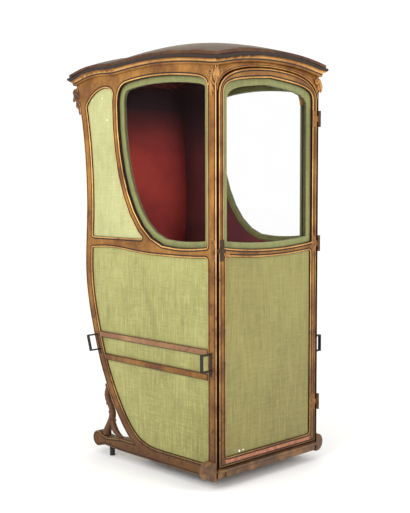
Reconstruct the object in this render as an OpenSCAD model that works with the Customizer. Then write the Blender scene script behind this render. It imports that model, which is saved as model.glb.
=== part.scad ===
// Sedan chair: a closed one-seat cabin on two runners, with a hinged front door
// and four iron staples that the carrying poles slide through.
// X runs across, the door faces -Y, Z is up, and the feet stand on Z = 0.
// Inside the modules, Y is measured back from the front face of the door.

/* [Body] */
// Width across the outer faces of the side frames
body_w = 596; // [500:2:720]
// Depth from the front face to the back at the waist
body_d = 806; // [680:2:980]
// Height of the runners' tops, where the side panels start
base_h = 92; // [84:1:110]
// Height of the under side of the waist rail
waist_h = 900; // [760:5:1080]
// Height of the posts at the front corners
eaves_h = 1612; // [1400:5:1940]
// Rise of the leather roof above its edge
dome_rise = 30; // [20:1:70]

/* [Frame] */
// Thickness of the side and back frames
wall_t = 30; // [24:1:36]
// Width of the curved rear posts, seen from the side
rear_post_w = 44; // [36:1:54]
// Depth of the front posts, seen from the side
front_post_d = 47; // [44:1:60]
// Width of the front posts behind the door
front_post_w = 48; // [40:1:56]
// Thickness of the lip that covers the door's edge
lip_t = 6; // [5:1:10]
// Height of the waist rail
waist_rail_h = 48; // [36:1:60]
// Width of the curved stile behind each side window
stile_w = 33; // [26:1:42]
// Width of the part of the side behind the window
quarter_w = 223; // [190:1:260]
// Depth of a panel's face below the frame around it
panel_recess = 6; // [3:1:8]
// Thickness of the padded lining
lining_t = 5; // [3:1:8]

/* [Door] */
// Thickness of the door
door_t = 24; // [20:1:28]
// Running gap between the door and the body
door_gap = 7; // [5:0.5:9]
// Width of the door's stiles
door_stile_w = 34; // [28:1:44]
// Height of the door's bottom rail
door_foot_h = 34; // [26:1:44]
// Thickness of the iron hinge leaves
leaf_t = 2.5; // [2:0.5:4]
// Radius of the hinge knuckles
knuckle_r = 5.5; // [5:0.5:8]
// Length of each hinge
hinge_h = 66; // [48:2:90]
// Angle at which the door is drawn
door_angle = 0; // [0:5:110]

/* [Windows] */
// Width of the fabric-covered sash frames
sash_w = 27; // [20:1:36]
// Thickness of the sash frames
sash_t = 14; // [10:1:18]
// Thickness of the panes
glass_t = 3; // [2:0.5:5]

/* [Base] */
// Width of each runner
runner_w = 46; // [36:1:56]
// Height of the runners' under sides
runner_z = 40; // [34:1:48]
// Radius of the scroll at the back of each runner
scroll_r = 33; // [28:1:40]
// Height of the sill below the door
sill_h = 80; // [72:1:84]
// Radius of the rounded toe at the front of each runner
toe_r = 37; // [28:1:42]
// Diameter of the iron pegs that the chair stands on
peg_d = 22; // [16:1:30]
// Thickness of the floor boards
floor_t = 16; // [12:1:22]

/* [Seat] */
// Height of the seat board's top
seat_h = 440; // [380:5:500]
// Distance of the seat's front from the door's face
seat_front = 330; // [280:5:380]
// Thickness of the seat cushion
cushion_h = 72; // [50:1:100]

/* [Poles] */
// Clear width of the staples, for the pole's thickness
pole_gap_w = 46; // [38:1:60]
// Clear height of the staples, for the pole's depth
pole_gap_h = 58; // [46:1:76]
// Height of the poles' middle
pole_z = 494; // [470:1:540]
// Thickness of the staples' iron
staple_t = 7; // [5:0.5:10]
// Width of the staples' iron
staple_w = 15; // [12:1:22]
// Height of the two mouldings below and above the poles' line
band_h = 24; // [16:1:30]
// Height between the middles of the two mouldings
band_step = 94; // [80:1:120]

/* [Hidden] */
$fn = 48;

half_w = body_w / 2;
wall_x = half_w - wall_t;
lining_x = wall_x - lining_t;
panel_t = wall_t - panel_recess;
bend_n = 9;            // straight pieces in each bend of an outline
clear = 0.3;           // gap between a soft or glazed piece and its seat
cornice_lap = 12;      // height of the frames behind the cornice
cornice_h = 36;        // height of the cornice
cornice_seat = 4;      // gap over the frames' tops, inside the cornice's lower lip
cornice_out = 30;      // overhang of the cornice
roof_t = 12;
eaves_d = body_d + 54; // depth of the body under the cornice
door_z = sill_h + door_gap;
door_x = half_w - lip_t - door_gap;
stop_y = door_t + door_gap;
waist_top = waist_h + waist_rail_h;
volute_out = 36;       // reach of the rear carvings behind the posts
mid_y = (eaves_d + volute_out - cornice_out) / 2; // from the front face to the middle of the whole chair

oak = "#8a5f2c";
gilt = "#c29a4b";
silk = "#b7b878";
iron = "#3b3836";
crimson = "#7c1d28";
leather = "#9d9682";

// A bend from a to d, pulled towards b and c
function bend(a, b, c, d) = [for (i = [0 : bend_n]) let (t = i / bend_n, s = 1 - t)
    s * s * s * a + 3 * s * s * t * b + 3 * s * t * t * c + t * t * t * d];

foot_y = body_d - 306; // where the back's sweep meets the runners

// Heights part of the way from the base to the waist, and from the waist to the eaves
function low(f) = base_h + f * (waist_h - base_h);
function high(f) = waist_h + f * (eaves_h - waist_h);

// A line of points moved sideways by d, to the left of its direction
function beside(line, d) = [for (i = [0 : len(line) - 1])
    let (a = line[max(i - 1, 0)], b = line[min(i + 1, len(line) - 1)], r = (b - a) / norm(b - a))
    line[i] + d * [-r[1], r[0]]];

function reversed(line) = [for (i = [len(line) - 1 : -1 : 0]) line[i]];

// The body's back edge, from the eaves down to the runners, as [distance back, height]
back_line = concat(
    bend([eaves_d, eaves_h - 12], [body_d + 9, high(0.76)],
         [body_d - 11, high(0.55)], [body_d - 12, high(0.28)]),
    bend([body_d - 12, high(0.27)], [body_d - 12, high(0.14)],
         [body_d + 2, waist_h], [body_d, low(0.876)]),
    bend([body_d - 1, low(0.86)], [body_d - 2, low(0.752)],
         [body_d - 41, low(0.579)], [body_d - 76, low(0.449)]),
    bend([body_d - 79, low(0.44)], [body_d - 111, low(0.319)],
         [body_d - 204, low(0.09)], [foot_y, base_h]));

// The eaves' rise above the front corner, as [part of the depth, rise]
side_rise = [[0, -2], [0.1, 10], [0.25, 22], [0.4, 26], [0.55, 20],
             [0.7, 9.5], [0.8, 12.5], [0.9, 5], [1, -17]];
crown = 33; // rise of the eaves across the front and the back

function slope(i) = let (a = side_rise[max(i - 1, 0)], b = side_rise[min(i + 1, 8)])
    (b[1] - a[1]) / (b[0] - a[0]);
function row_of(f) = [for (i = [0 : 7]) if (f <= side_rise[i + 1][0] || i == 7) i][0];
function side_eaves(f) = let (
    i = row_of(f), a = side_rise[i], b = side_rise[i + 1],
    w = b[0] - a[0], t = (f - a[0]) / w, s = 1 - t)
    eaves_h + a[1] * s * s * (1 + 2 * t) + b[1] * t * t * (3 - 2 * t)
    + w * t * s * (slope(i) * s - slope(i + 1) * t);
function arch(u) = crown * (1 - pow(abs(u), 2.2));
function front_eaves(u) = side_eaves(0) + arch(u);
function back_eaves(u) = side_eaves(1) + arch(u);

// The side's outline, with its back edge moved in by d and its front edge at y0
function side_top(y0, y1, n = 28) = [for (i = [0 : n]) let (y = y0 + (y1 - y0) * i / n)
    [y, side_eaves(max(0, min(1, y / eaves_d))) + cornice_lap]];

function back_edge(d) = beside(back_line, -d);

// The run of an inner edge as it flattens out onto the runner
tail_run = 3;
function tail(edge, d) = let (foot = edge[len(edge) - 1])
    bend(foot, foot - [0.45, 0.32] * d, [foot[0] - 1.7 * d, base_h], [foot[0] - tail_run * d, base_h]);

module side_shape(d, y0) {
    edge = back_edge(d);
    polygon(concat([[y0, base_h]], side_top(y0, edge[0][0]), edge, d > 0 ? tail(edge, d) : []));
}

module rear_post_shape() {
    edge = back_edge(rear_post_w);
    polygon(concat(side_top(edge[0][0], eaves_d, 4), back_line, reversed(tail(edge, rear_post_w)), reversed(edge)));
}

// A slab of the side view between two heights
module level(z0, z1) translate([-100, z0]) square([eaves_d + 300, z1 - z0]);

// The side window's opening, moved in by d all round
window_back = body_d - quarter_w;
function window_y(f) = front_post_d + f * (window_back - front_post_d);
function window_line(d) = beside(concat(
    bend([front_post_d, eaves_h - 82], [front_post_d, eaves_h - 54],
         [front_post_d + 15, eaves_h - 42], [front_post_d + 43, eaves_h - 36]),
    bend([window_y(0.09), eaves_h - 34], [window_y(0.36), eaves_h - 9],
         [window_y(0.66), eaves_h - 6], [window_y(0.882), eaves_h - 25]),
    bend([window_y(0.9), eaves_h - 27], [window_y(0.966), eaves_h - 34],
         [window_back, eaves_h - 62], [window_back, eaves_h - 112]),
    bend([window_back, eaves_h - 120], [window_back, high(0.442)],
         [window_y(0.804), waist_h + 5], [window_y(0.343), waist_h + 20]),
    bend([window_y(0.32), waist_h + 20], [window_y(0.2), waist_h + 19],
         [window_y(0.1), waist_h + 24], [front_post_d, waist_h + 30])), -d);

function forward_to(line, y) = [for (p = line) [max(p[0], y), p[1]]];

module window_shape(d = 0) polygon(forward_to(window_line(d), front_post_d + max(d, 0)));

// The quarter panel's opening, behind the window
module quarter_shape() difference() {
    intersection() {
        side_shape(rear_post_w, front_post_d);
        polygon(concat(
            [[window_y(0.6), waist_top], [window_y(0.72), high(0.3)], [window_back - 25, eaves_h - 160]],
            bend([window_back + stile_w - 4, eaves_h - 62], [window_back + stile_w + 4, eaves_h - 24],
                 [body_d - 60, eaves_h - 22], [body_d - 6, eaves_h - 126]),
            [[body_d + 40, eaves_h - 140], [body_d + 40, waist_top]]));
    }
    window_shape(-stile_w);
}

// The lower panel's opening, under the waist rail
module lower_shape() intersection() {
    side_shape(rear_post_w, front_post_d);
    polygon(concat([[front_post_d, base_h - 1]],
        bend([front_post_d, waist_h - 8], [150, waist_h - 15], [250, waist_h - 13], [350, waist_h - 12]),
        bend([360, waist_h - 12], [450, waist_h - 11], [body_d - 246, waist_h + 7], [body_d - 166, waist_h + 7]),
        bend([body_d - 160, waist_h + 7], [body_d - 116, waist_h + 7], [body_d - 86, waist_h + 2],
             [body_d + 20, waist_h - 2]),
        [[body_d + 20, base_h - 1]]));
}

module frame_shape(z0, z1) difference() {
    intersection() {
        side_shape(rear_post_w, front_post_d);
        level(z0, z1);
    }
    window_shape();
    quarter_shape();
    lower_shape();
}

// A side-view shape, made x0 to x1 thick and set in the chair's frame
module across(x0, x1) translate([x0, -mid_y, 0]) rotate([90, 0, 90]) linear_extrude(x1 - x0) children();

// The same on the left (side = -1) or the right (side = 1), with x measured outwards
module on_side(side, x0, x1) across(side < 0 ? -x1 : x0, side < 0 ? -x0 : x1) children();

// A front-view shape, made y0 to y1 thick
module along(y0, y1) translate([0, y1 - mid_y, 0]) rotate([90, 0, 0]) linear_extrude(y1 - y0) children();

module block(x0, x1, y0, y1, z0, z1)
    translate([x0, y0 - mid_y, z0]) cube([x1 - x0, y1 - y0, z1 - z0]);

module both() {
    children();
    mirror([1, 0, 0]) children();
}

// ---- base ----

scroll_y = body_d - 71;
module runner(side) color(oak) on_side(side, half_w - runner_w, half_w) {
    polygon([[0, runner_z + 8], [8, runner_z], [body_d - 226, runner_z], [body_d - 120, runner_z + 6],
             [scroll_y, scroll_r], [scroll_y, 2 * scroll_r + 24], [body_d - 140, base_h - 12],
             [body_d - 200, base_h - 4], [body_d - 230, base_h], [front_post_d, base_h],
             [front_post_d, sill_h], [0, sill_h]]);
    translate([scroll_y, scroll_r + 33]) circle(scroll_r);
}

module front_sill() color(oak) {
    block(-half_w + runner_w, half_w - runner_w, -6, front_post_d, sill_h - 34, sill_h);
    block(-half_w, half_w, -9, -1, sill_h - 12, sill_h - 2);
    block(-half_w + runner_w, half_w - runner_w, -4, 0, sill_h - 12, sill_h - 2);
}

crossbar_y = body_d - 350;
module rear_crossbar() color(oak)
    block(-half_w + runner_w, half_w - runner_w, crossbar_y, crossbar_y + 60, runner_z + 8, base_h);

bearer_y = 100;
module floor_bearers() color(oak) for (y = [bearer_y, bearer_y + 160])
    block(-half_w + runner_w, half_w - runner_w, y, y + 50, base_h - 36, base_h);

module floor_board() color(oak)
    block(-lining_x, lining_x, front_post_d, foot_y - (tail_run + 0.8) * panel_t, base_h, base_h + floor_t);

module iron_feet() color(iron) both() {
    translate([half_w - 73, bearer_y + 25 - mid_y, 0]) cylinder(d = peg_d, h = base_h - 36);
    translate([half_w - runner_w / 2, body_d - 141 - mid_y, 0]) cylinder(d = peg_d, h = runner_z + 4);
}

module front_toes() color(oak) both() intersection() {
    translate([half_w + 8, 2 - mid_y, 73]) rotate([-90, 0, 0]) cylinder(r = toe_r, h = 48);
    block(half_w, half_w + 60, 0, 60, 0, 200);
}

// ---- side frames ----

module front_post(side) color(gilt) intersection() {
    union() {
        on_side(side, half_w - front_post_w, half_w) translate([stop_y, sill_h])
            square([front_post_d - stop_y, eaves_h]);
        on_side(side, half_w - lip_t, half_w) translate([0, sill_h]) square([stop_y, eaves_h]);
    }
    across(-half_w, half_w) polygon(concat([[0, 0]], side_top(0, front_post_d, 4), [[front_post_d, 0]]));
}

module rear_post(side) color(gilt) on_side(side, wall_x, half_w) rear_post_shape();

module waist_rail(side) color(gilt) on_side(side, wall_x, half_w) frame_shape(base_h, waist_top);

stile_top = eaves_h - 100;
module window_stile(side) color(gilt) on_side(side, wall_x, half_w) frame_shape(waist_top, stile_top);

module top_rail(side) color(gilt) on_side(side, wall_x, half_w) frame_shape(stile_top, eaves_h + 200);

module quarter_panel(side) color(silk) on_side(side, wall_x, wall_x + panel_t) quarter_shape();

module lower_panel(side) color(silk) on_side(side, wall_x, wall_x + panel_t) lower_shape();

module pole_bands(side) color(gilt) on_side(side, wall_x + panel_t, half_w + 3) intersection() {
    side_shape(rear_post_w, front_post_d);
    for (z = [pole_z - 12 - band_step / 2, pole_z - 12 + band_step / 2])
        level(z - band_h / 2, z + band_h / 2);
}

// ---- iron staples for the poles ----

// One staple, seen from the front: a flat plate on the post and a square loop out from it
plate_h = pole_gap_h + 2 * staple_t + 40;
module staple_shape() difference() {
    union() {
        translate([0, -plate_h / 2 - 22]) square([3, plate_h]);
        translate([0, -pole_gap_h / 2 - staple_t])
            square([pole_gap_w + staple_t + 3, pole_gap_h + 2 * staple_t]);
    }
    translate([3, -pole_gap_h / 2]) square([pole_gap_w, pole_gap_h]);
}

rear_staple_y = lookup(pole_z, [for (p = reversed(back_line)) [p[1], p[0]]]) - 22.7;
rear_lean = 17; // the rear staples lean back with the post's edge
module staple(y, lean) translate([half_w, y - mid_y, pole_z]) rotate([lean, 0, 0])
    translate([0, staple_w / 2, 0]) rotate([90, 0, 0]) linear_extrude(staple_w) staple_shape();

module pole_staples() color(iron) both() {
    staple(front_post_d - 19, 0);
    staple(rear_staple_y, -rear_lean);
}

// ---- sashes and panes ----

sash_x = half_w - 28;
module side_sash(side) color(silk) on_side(side, sash_x, sash_x + sash_t) difference() {
    window_shape(clear);
    window_shape(sash_w);
}

module side_glass(side) color("lightblue", 0.3)
    on_side(side, sash_x + 4, sash_x + 4 + glass_t) window_shape(sash_w + clear);

// ---- back ----

module back_band(d0, d1, z0, z1, x) across(-x, x) intersection() {
    difference() {
        side_shape(d0, 0);
        side_shape(d1, -10);
    }
    level(z0, z1);
    translate([body_d - 400, 0]) square([500, 2 * eaves_h]);
}

back_rail_z = eaves_h - 62;
back_joint_z = eaves_h - 14; // where the rail's curve ends and its upright top starts
module back_top_rail() color(gilt) {
    back_band(0, panel_t, back_rail_z, back_joint_z, wall_x);
    along(eaves_d - panel_t, eaves_d) polygon(concat([[wall_x, back_joint_z], [-wall_x, back_joint_z]],
        [for (i = [0 : 24]) let (u = -1 + i / 12) [u * wall_x, back_eaves(u * wall_x / half_w) + cornice_lap]]));
}

module back_waist_rail() color(gilt) back_band(0, panel_t, waist_h, waist_top, wall_x);
module back_panel_upper() color(silk) back_band(panel_recess, panel_t, waist_top, back_rail_z, wall_x);
module back_panel_lower() color(silk) back_band(panel_recess, panel_t, base_h, waist_h, wall_x);

// ---- roof ----

// A point of the roof's edge: side 0 front, 1 right, 2 back, 3 left; o is its overhang
function within(a) = max(-1, min(1, a));
function edge_height(x, y, side) = side == 0 ? front_eaves(within(x / half_w))
    : side == 2 ? back_eaves(within(x / half_w)) : side_eaves(max(0, within(y / eaves_d)));
function edge_point(side, f, o, h) = let (
    x = half_w + o, y1 = eaves_d + o,
    p = side == 0 ? [-x + 2 * x * f, -o] : side == 1 ? [x, -o + (y1 + o) * f]
      : side == 2 ? [x - 2 * x * f, y1] : [-x, y1 - (y1 + o) * f])
    [p[0], p[1], edge_height(p[0], p[1], side) + h];

// The cornice's section, as [overhang, height above the eaves]
cornice_section = [[0, 0], [9, 0], [12, 6], [12, 12], [20, 18], [24, 22], [cornice_out - 2, 24],
                   [cornice_out, 29], [cornice_out - 2, 34], [cornice_out - 8, cornice_h],
                   [-wall_t, cornice_h], [-wall_t, cornice_lap + cornice_seat], [0, cornice_lap + cornice_seat]];
edge_n = [14, 26, 14, 26]; // steps along the front, right, back and left

module cornice() color(gilt) {
    rings = [for (s = [0 : 3]) for (i = [0 : edge_n[s] - 1])
        [for (p = cornice_section) edge_point(s, i / edge_n[s], p[0], p[1])]];
    n = len(rings);
    m = len(cornice_section);
    translate([0, -mid_y, 0]) polyhedron(
        points = [for (r = rings) each r],
        faces = [for (i = [0 : n - 1]) for (j = [0 : m - 1]) for (k = [0 : 1])
            let (a = i * m + j, b = i * m + (j + 1) % m,
                 c = ((i + 1) % n) * m + (j + 1) % m, d = ((i + 1) % n) * m + j)
            k == 0 ? [a, c, b] : [a, d, c]],
        convexity = 8);
}

// Height of the roof's under side, u across from -1 to 1 and v back from 0 to 1
function roof_under(u, v) = let (w = 2 * v - 1)
    side_eaves(v) + cornice_h + arch(u) + dome_rise * (1 - u * u) * (1 - w * w);

roof_n = [16, 22]; // steps across and back

// A sheet that follows the roof, o beyond the body, from z0 to z1 above the roof's under side
module roof_sheet(o, z0, z1) {
    nx = roof_n[0];
    ny = roof_n[1];
    lower = (nx + 1) * (ny + 1);
    row = nx + 1;
    shape = [for (z = [z0, z1]) for (j = [0 : ny]) for (i = [0 : nx])
        let (x = (half_w + o) * (2 * i / nx - 1), y = -o + (eaves_d + 2 * o) * j / ny,
             u = x / (half_w + cornice_out - 8),
             v = (y + cornice_out - 8) / (eaves_d + 2 * cornice_out - 16))
        [x, y, roof_under(u, v) + z]];
    rim = concat([for (i = [0 : nx - 1]) i], [for (j = [0 : ny - 1]) j * row + nx],
        [for (i = [nx : -1 : 1]) ny * row + i], [for (j = [ny : -1 : 1]) j * row]);
    translate([0, -mid_y, 0]) polyhedron(points = shape, faces = concat(
        [for (j = [0 : ny - 1]) for (i = [0 : nx - 1]) for (k = [0 : 3])
            let (a = j * row + i, b = a + 1, c = a + row + 1, d = a + row)
            k == 0 ? [a, b, c] : k == 1 ? [a, c, d]
            : k == 2 ? [lower + a, lower + c, lower + b] : [lower + a, lower + d, lower + c]],
        [for (i = [0 : len(rim) - 1]) for (k = [0 : 1])
            let (a = rim[i], b = rim[(i + 1) % len(rim)])
            k == 0 ? [a, lower + b, b] : [a, lower + a, lower + b]]), convexity = 6);
}

ceiling_gap = 0.8;
module roof() color(leather) roof_sheet(cornice_out - 8, clear, roof_t);
module ceiling_lining() color(crimson)
    roof_sheet(-wall_t - lining_t, clear - ceiling_gap - lining_t, clear - ceiling_gap);

// ---- lining and seat ----

module side_lining(side) color(crimson) on_side(side, lining_x, wall_x) difference() {
    side_shape(panel_t + lining_t, front_post_d);
    window_shape(2);
    level(0, base_h + floor_t);
}

module back_lining() color(crimson)
    back_band(panel_t, panel_t + lining_t, base_h + floor_t + 30, back_joint_z - 2, lining_x);

module seat_riser() color(crimson)
    block(-lining_x, lining_x, seat_front, seat_front + 16, base_h + floor_t, seat_h - 18);

module seat_level(z0, z1, x, d) across(-x, x) intersection() {
    side_shape(panel_t + lining_t + d, seat_front - 12);
    level(z0, z1);
}

module seat_board() color(oak) seat_level(seat_h - 18, seat_h, lining_x, 0);
module seat_cushion() color(crimson)
    seat_level(seat_h + clear, seat_h + cushion_h, lining_x - 6, 6);

// ---- carved pieces ----

// The bracket's S, as bends from the sweep of the body down to the runner
module rear_brackets() color(oak) both() on_side(1, half_w - 40, half_w - 2) difference() {
    polygon(concat(
        bend([body_d - 116, 318], [body_d - 92, 290], [body_d - 98, 250], [body_d - 98, 222]),
        bend([body_d - 108, 218], [body_d - 150, 200], [body_d - 136, 178], [body_d - 118, 160]),
        bend([body_d - 116, 156], [body_d - 96, 130], [body_d - 92, 118], [body_d - 92, 84]),
        bend([body_d - 224, 84], [body_d - 182, 96], [body_d - 156, 122], [body_d - 158, 148]),
        bend([body_d - 158, 152], [body_d - 158, 180], [body_d - 176, 205], [body_d - 206, 240])));
    side_shape(0, -10);
    translate([scroll_y, scroll_r + 33]) circle(scroll_r);
    polygon([[body_d - 230, base_h], [body_d - 200, base_h - 4], [body_d - 140, base_h - 12],
             [scroll_y, 2 * scroll_r + 24], [scroll_y, 0], [body_d - 230, 0]]);
}

// A scroll and a leaf on each front corner, at the side and above the door's shoulder
module front_carvings() color(gilt) both() {
    translate([half_w, 26 - mid_y, eaves_h - 23]) rotate([0, 90, 0]) cylinder(r = 19, h = 12);
    on_side(1, half_w, half_w + 8)
        polygon([[6, eaves_h - 20], [44, eaves_h - 24], [38, eaves_h - 70], [24, eaves_h - 118],
                 [12, eaves_h - 70]]);
    along(-10, 0) polygon([[half_w + 4, eaves_h - 5], [half_w - 34, eaves_h - 4],
                           [half_w - 26, eaves_h - 30], [half_w + 2, eaves_h - 70]]);
}

// A volute out from each rear corner, with a leaf down the post's back
volute_r = 24;
module rear_carvings() color(gilt) both() on_side(1, half_w - wall_t, half_w + 12) difference() {
    top = side_eaves(1) - 1;
    union() {
        translate([eaves_d + volute_out - volute_r, top - volute_r]) circle(volute_r);
        polygon([[eaves_d - 24, top - 4], [eaves_d + 14, top], [eaves_d + volute_out - 4, top - volute_r - 14],
                 [eaves_d - 2, top - 80], [eaves_d - 30, top - 124], [eaves_d - 42, top - 84]]);
    }
    side_shape(0, -10);
}

// ---- door and its hinges ----

hinge_x = half_w + 1;
hinge_y = -6;
hinge_z = [254, waist_h + 24, eaves_h - 173]; // middles of the three hinges
pin_r = 2.4;
knuckle_gap = 0.5;

module knuckle(z0, z1) translate([hinge_x, hinge_y - mid_y, z0]) cylinder(r = knuckle_r, h = z1 - z0);

module hinge_plates() color(iron) for (z = hinge_z) {
    for (s = [-1, 1]) {
        z0 = z + (s < 0 ? -hinge_h / 2 : hinge_h / 6 + knuckle_gap);
        knuckle(z0, z0 + hinge_h / 3 - knuckle_gap);
        block(half_w, half_w + leaf_t, hinge_y, 26, z0, z0 + hinge_h / 3 - knuckle_gap);
    }
    block(half_w, half_w + leaf_t, 4, 26, z - hinge_h / 2, z + hinge_h / 2);
    translate([hinge_x, hinge_y - mid_y, z - hinge_h / 2]) cylinder(r = pin_r, h = hinge_h);
}

module door_hinges() color(iron) swung() for (z = hinge_z) difference() {
    union() {
        knuckle(z - hinge_h / 6, z + hinge_h / 6);
        block(door_x - 26, hinge_x, -leaf_t, 0, z - hinge_h / 6, z + hinge_h / 6);
        block(door_x - 26, door_x - 1, -leaf_t, 0, z - hinge_h / 2, z + hinge_h / 2);
        block(hinge_x - knuckle_r, hinge_x, hinge_y, 0, z - hinge_h / 6, z + hinge_h / 6);
    }
    translate([hinge_x, hinge_y - mid_y, z - hinge_h]) cylinder(r = pin_r + 0.3, h = 2 * hinge_h);
}

module swung() translate([hinge_x, hinge_y - mid_y, 0]) rotate([0, 0, door_angle])
    translate([-hinge_x, mid_y - hinge_y, 0]) children();

// An arched head from its left shoulder to its right: it springs drop below z, and its corners reach in by ease
door_top = eaves_h + 8;
function arch_line(x, z, drop, ease, flat) = let (
    half = bend([-x, z - drop], [-x, z - drop * 0.36], [-x + ease, z - flat], [0, z]))
    concat(half, [for (p = reversed(half)) if (p[0] < -1) [-p[0], p[1]]]);

module door_shape(x, z0, z) polygon(concat([[-x, z0]], arch_line(x, z, 112, 85, 3), [[x, z0]]));

module header_rail() color(gilt) {
    along(0, stop_y) difference() {
        polygon(header_points(half_w - lip_t));
        door_shape(door_x + door_gap, 0, door_top + door_gap);
        translate([-half_w, 0]) square([body_w, door_top - 125]);
    }
    along(stop_y, front_post_d) difference() {
        polygon(header_points(half_w - front_post_w));
        door_shape(half_w - front_post_w - 14, 0, door_top - 18);
        translate([-half_w, 0]) square([body_w, door_top - 125]);
    }
}

function header_points(x) = concat([[x, eaves_h - 200], [-x, eaves_h - 200]],
    [for (i = [0 : 24]) let (u = -1 + i / 12) [u * x, front_eaves(u * x / half_w) + cornice_lap]]);

door_in_x = door_x - door_stile_w;
window_z = waist_h + 14; // middle of the door window's bottom edge
door_window_top = eaves_h - 26;
window_in_x = door_in_x + 9; // the window's opening is wider than the panel's

module door_window(d = 0) intersection() {
    polygon(concat([[-window_in_x + d, 0]], arch_line(window_in_x - d, door_window_top - d, 74, 52, 15),
                   [[window_in_x - d, 0]]));
    polygon(concat([[window_in_x, 2 * eaves_h], [-window_in_x, 2 * eaves_h]],
        [for (i = [0 : 16]) let (u = -1 + i / 8) [u * window_in_x, window_z + 17 * u * u + d]]));
}

// The door panel's opening
module door_field() difference() {
    translate([-door_in_x, door_z + door_foot_h]) square([2 * door_in_x, waist_h - door_z - door_foot_h + 20]);
    polygon(concat([[door_in_x + 1, waist_h + 100], [-door_in_x - 1, waist_h + 100]],
        [for (i = [0 : 16]) let (u = -1 + i / 8) [u * (door_in_x + 1), waist_h - 14 + 14 * u * u]]));
}

door_split = eaves_h - 170; // where the top rail's shoulders meet the stiles

module door_stiles() color(gilt) swung() along(0, door_t) difference() {
    for (s = [-1, 1])
        translate([s < 0 ? -door_x : door_in_x, door_z]) square([door_stile_w, door_split - door_z]);
    door_window();
}

module door_top_rail() color(gilt) swung() along(0, door_t) difference() {
    door_shape(door_x, door_split, door_top);
    door_window();
}

module door_waist_rail() color(gilt) swung() along(0, door_t) difference() {
    translate([-door_in_x, waist_h - 30]) square([2 * door_in_x, 80]);
    door_window();
    door_field();
}

module door_foot_rail() color(oak) swung() along(0, door_t)
    translate([-door_in_x, door_z]) square([2 * door_in_x, door_foot_h]);

module door_panel() color(silk) swung() along(panel_recess, door_t) door_field();

module door_lining() color(crimson) swung()
    block(-door_in_x + 14, door_in_x - 14, door_t, door_t + lining_t, door_z + door_foot_h, waist_h - 20);

module door_sash() color(silk) swung() along(door_t - sash_t, door_t) difference() {
    door_window(clear);
    door_window(sash_w);
}

module door_glass() color("lightblue", 0.3) swung()
    along(door_t - sash_t / 2, door_t - sash_t / 2 + glass_t) door_window(sash_w + clear);

// The latch: a plate on the door, with a lever that hooks past the post's corner
latch_z = waist_h + 21;
module door_latch() color(iron) swung() {
    block(-door_x + 2, -door_x + 24, -4, 0, latch_z - 40, latch_z + 42);
    block(-door_x + 6, -door_x + 18, -13, -4, latch_z - 6, latch_z + 6);
    block(-door_x - 22, -door_x + 18, -18, -13, latch_z - 8, latch_z + 8);
}

module latch_keeper() color(iron) {
    block(-half_w - 3, -half_w, 4, 26, latch_z - 40, latch_z + 40);
    block(-half_w - 11, -half_w - 3, 6, 12, latch_z - 12, latch_z + 12);
}

runner(-1);  // runner_left
runner(1);  // runner_right
front_sill();
rear_crossbar();
floor_bearers();
floor_board();
iron_feet();
front_toes();
front_post(-1);  // front_post_left
front_post(1);  // front_post_right
rear_post(-1);  // rear_post_left
rear_post(1);  // rear_post_right
waist_rail(-1);  // waist_rail_left
waist_rail(1);  // waist_rail_right
top_rail(-1);  // top_rail_left
top_rail(1);  // top_rail_right
window_stile(-1);  // window_stile_left
window_stile(1);  // window_stile_right
header_rail();
back_top_rail();
back_waist_rail();
back_panel_upper();
back_panel_lower();
quarter_panel(-1);  // quarter_panel_left
quarter_panel(1);  // quarter_panel_right
lower_panel(-1);  // lower_panel_left
lower_panel(1);  // lower_panel_right
pole_bands(-1);  // pole_bands_left
pole_bands(1);  // pole_bands_right
pole_staples();
side_sash(-1);  // side_sash_left
side_sash(1);  // side_sash_right
side_glass(-1);  // side_glass_left
side_glass(1);  // side_glass_right
cornice();
roof();
ceiling_lining();
side_lining(-1);  // side_lining_left
side_lining(1);  // side_lining_right
back_lining();
seat_riser();
seat_board();
seat_cushion();
rear_brackets();
front_carvings();
rear_carvings();
hinge_plates();
latch_keeper();
door_stiles();
door_top_rail();
door_waist_rail();
door_foot_rail();
door_panel();
door_lining();
door_sash();
door_glass();
door_hinges();
door_latch();
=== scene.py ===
import math

import bmesh
import bpy
from mathutils import Matrix, Vector


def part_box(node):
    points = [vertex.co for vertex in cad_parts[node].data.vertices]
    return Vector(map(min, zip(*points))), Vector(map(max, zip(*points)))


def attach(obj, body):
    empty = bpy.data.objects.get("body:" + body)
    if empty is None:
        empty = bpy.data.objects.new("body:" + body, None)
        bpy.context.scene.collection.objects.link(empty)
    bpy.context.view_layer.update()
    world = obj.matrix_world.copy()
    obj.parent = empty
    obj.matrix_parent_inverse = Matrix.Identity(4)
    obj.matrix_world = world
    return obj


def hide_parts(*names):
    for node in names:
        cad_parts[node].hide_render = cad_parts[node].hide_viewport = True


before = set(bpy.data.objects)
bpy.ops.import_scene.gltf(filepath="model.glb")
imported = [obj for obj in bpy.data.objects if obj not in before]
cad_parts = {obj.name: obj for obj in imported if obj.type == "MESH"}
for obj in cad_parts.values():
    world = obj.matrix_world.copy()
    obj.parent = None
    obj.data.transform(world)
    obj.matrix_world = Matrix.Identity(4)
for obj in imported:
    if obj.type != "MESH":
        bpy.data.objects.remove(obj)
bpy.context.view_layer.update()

half_width = -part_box("waist_rail_left")[0].x
front_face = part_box("front_post_left")[0].y
back_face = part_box("back_waist_rail")[1].y
bpy.ops.object.select_all(action="DESELECT")


# ---- The carcase: each side's posts and rails ----
# A chairmaker's beech frame, water gilded over clay. Posts and rails are jointed and run
# with one moulding: a bead along every edge, a sunk line behind it and a flat between.

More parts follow.
